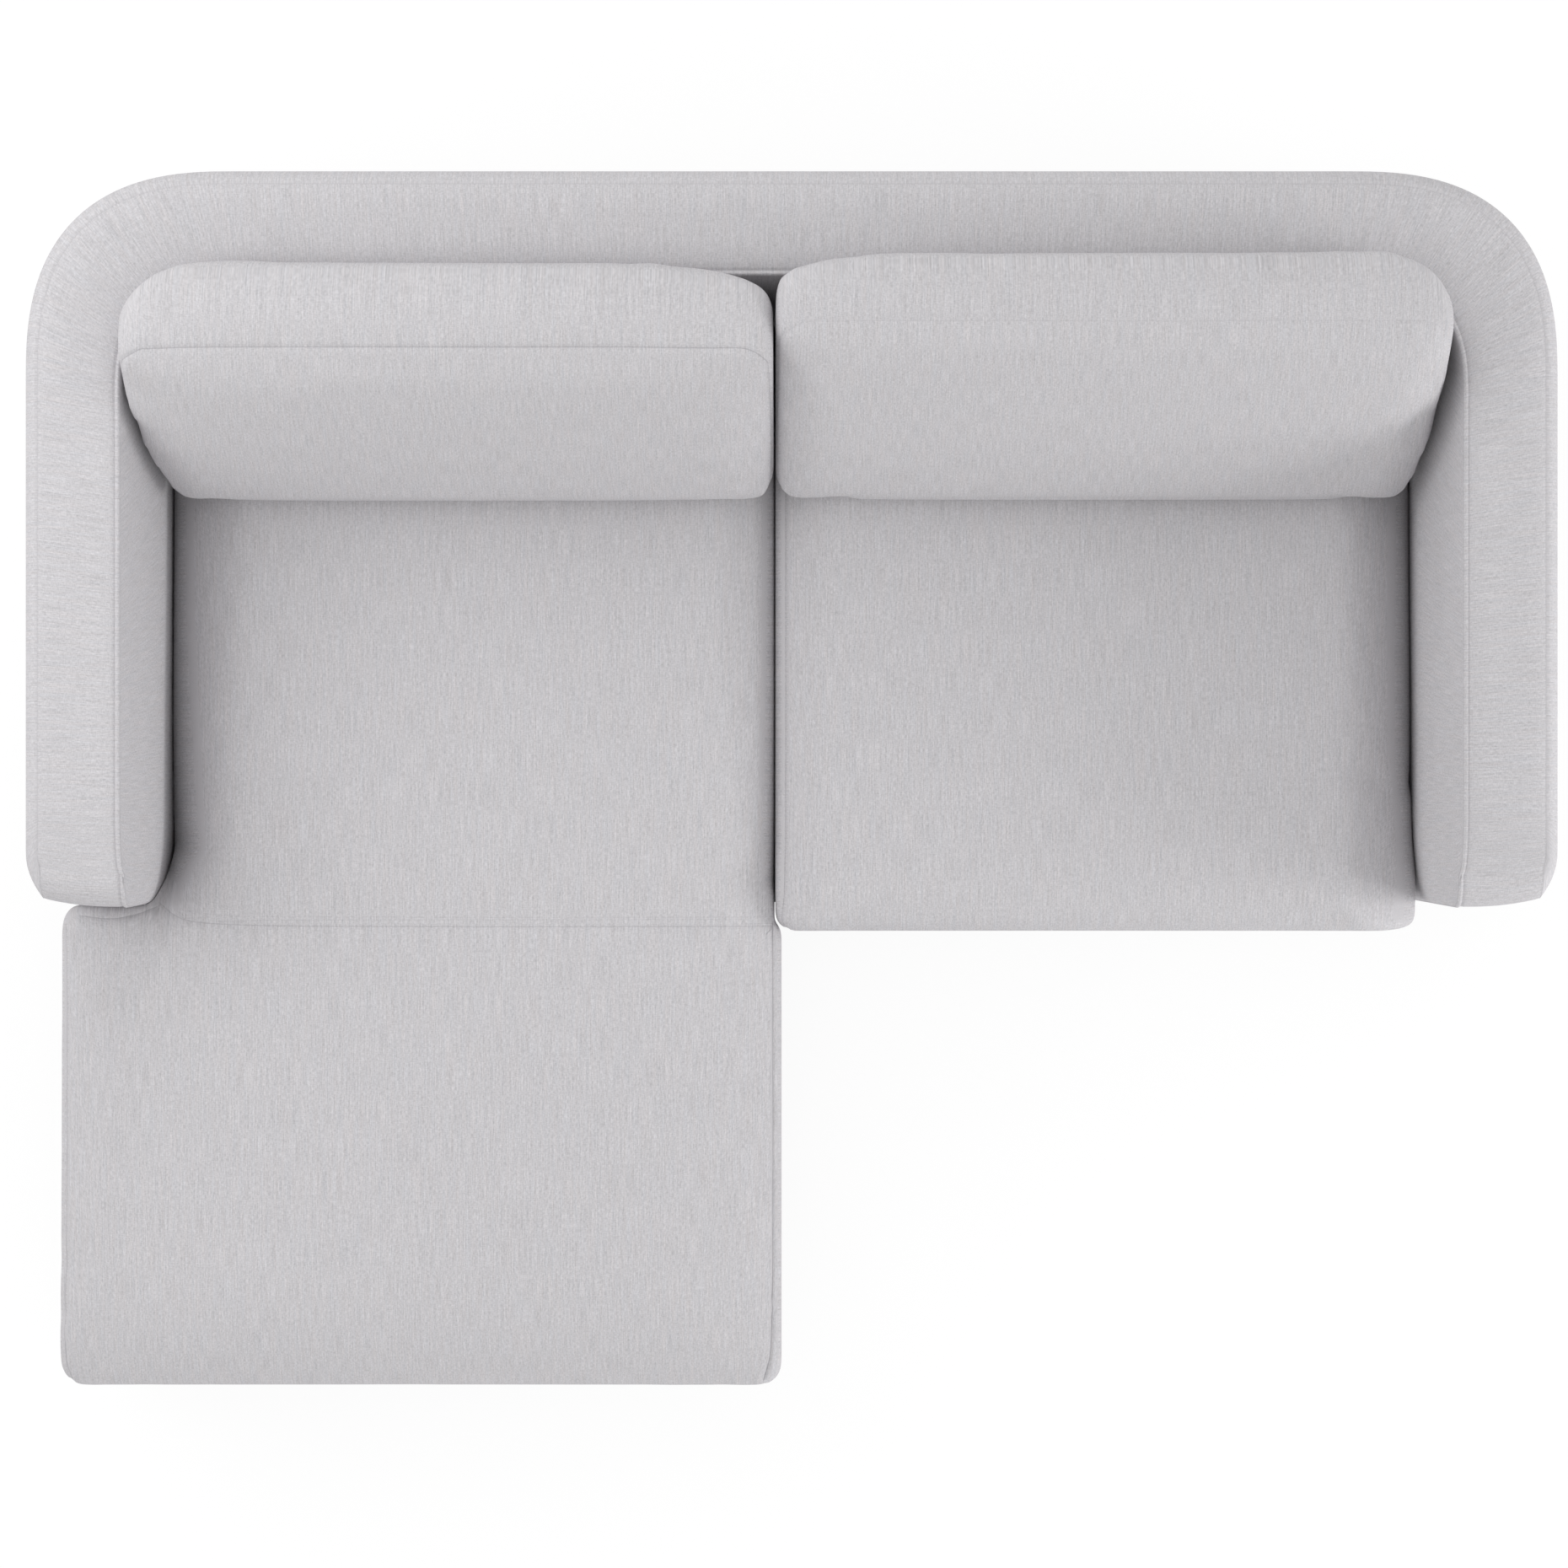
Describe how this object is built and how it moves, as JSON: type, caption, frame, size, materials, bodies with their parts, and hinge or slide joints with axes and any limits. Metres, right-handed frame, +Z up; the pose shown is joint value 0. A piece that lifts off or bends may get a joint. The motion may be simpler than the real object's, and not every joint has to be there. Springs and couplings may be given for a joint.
{
  "type": "sectional sofa",
  "caption": "Sofa with a chaise on one side, a rounded wrap of arms and back in one piece, and loose box cushions in grey woven fabric.",
  "frame": {"origin": "on the floor, under the middle of the sofa's box", "axes": "+X along the back to the right of a person who looks at the front, +Y towards the back, +Z up"},
  "size_m": [2.1, 1.6899, 0.7733],
  "materials": {
    "grey_weave": "pale grey woven upholstery fabric, matt",
    "foam": "soft cream foam",
    "cushion_filling": "soft foam wrapped in fibre",
    "timber": "planed unfinished timber and plywood",
    "black_plastic": "moulded, matt",
    "felt": "dense dark felt",
    "zinc_steel": "zinc plated",
    "webbing": "elastic woven strap",
    "lining_cloth": "thin bonded cloth",
    "zip_tape": "woven zip tape with fine moulded teeth"
  },
  "bodies": {
    "frame": {"wrap_cover": "grey_weave", "left_arm_foam": "foam", "back_foam": "foam", "right_arm_foam": "foam", "left_arm_frame": "timber", "right_arm_frame": "timber", "back_frame": "timber", "left_corner_block": "timber", "right_corner_block": "timber", "base_front_rail": "timber", "base_back_rail": "timber", "base_left_rail": "timber", "base_centre_rail": "timber", "base_right_rail": "timber", "chaise_front_rail": "timber", "chaise_back_rail": "timber", "chaise_left_rail": "timber", "chaise_centre_rail": "timber", "chaise_right_rail": "timber", "left_connector": "zinc_steel", "right_connector": "zinc_steel", "left_webbing": "webbing", "right_webbing": "webbing", "chaise_webbing": "webbing", "main_deck_cloth": "lining_cloth", "chaise_deck_cloth": "lining_cloth", "main_dust_cover": "lining_cloth", "chaise_dust_cover": "lining_cloth", "main_base_cover": "grey_weave", "chaise_base_cover": "grey_weave", "front_left_leg": "black_plastic", "front_middle_leg": "black_plastic", "front_right_leg": "black_plastic", "back_left_leg": "black_plastic", "back_middle_leg": "black_plastic", "back_right_leg": "black_plastic", "chaise_left_leg": "black_plastic", "chaise_right_leg": "black_plastic", "front_left_glide": "felt", "front_middle_glide": "felt", "front_right_glide": "felt", "back_left_glide": "felt", "back_middle_glide": "felt", "back_right_glide": "felt", "chaise_left_glide": "felt", "chaise_right_glide": "felt"},
    "chaise_cushion": {"chaise_cover": "grey_weave", "chaise_core": "cushion_filling", "chaise_zip": "zip_tape"},
    "right_seat_cushion": {"right_seat_cover": "grey_weave", "right_seat_core": "cushion_filling", "right_seat_zip": "zip_tape"},
    "left_back_cushion": {"left_back_cover": "grey_weave", "left_back_core": "cushion_filling", "left_back_zip": "zip_tape"},
    "right_back_cushion": {"right_back_cover": "grey_weave", "right_back_core": "cushion_filling", "right_back_zip": "zip_tape"}
  },
  "joints": [
    {"name": "chaise_cushion_lift", "type": "slide", "parent": "frame", "child": "chaise_cushion", "axis": [0, 0, 1], "range_m": [0, 0.45]},
    {"name": "right_seat_lift", "type": "slide", "parent": "frame", "child": "right_seat_cushion", "axis": [0, 0, 1], "range_m": [0, 0.45]},
    {"name": "left_back_lift", "type": "slide", "parent": "chaise_cushion", "child": "left_back_cushion", "axis": [0, 0, 1], "range_m": [0, 0.28]},
    {"name": "right_back_lift", "type": "slide", "parent": "right_seat_cushion", "child": "right_back_cushion", "axis": [0, 0, 1], "range_m": [0, 0.28]}
  ]
}
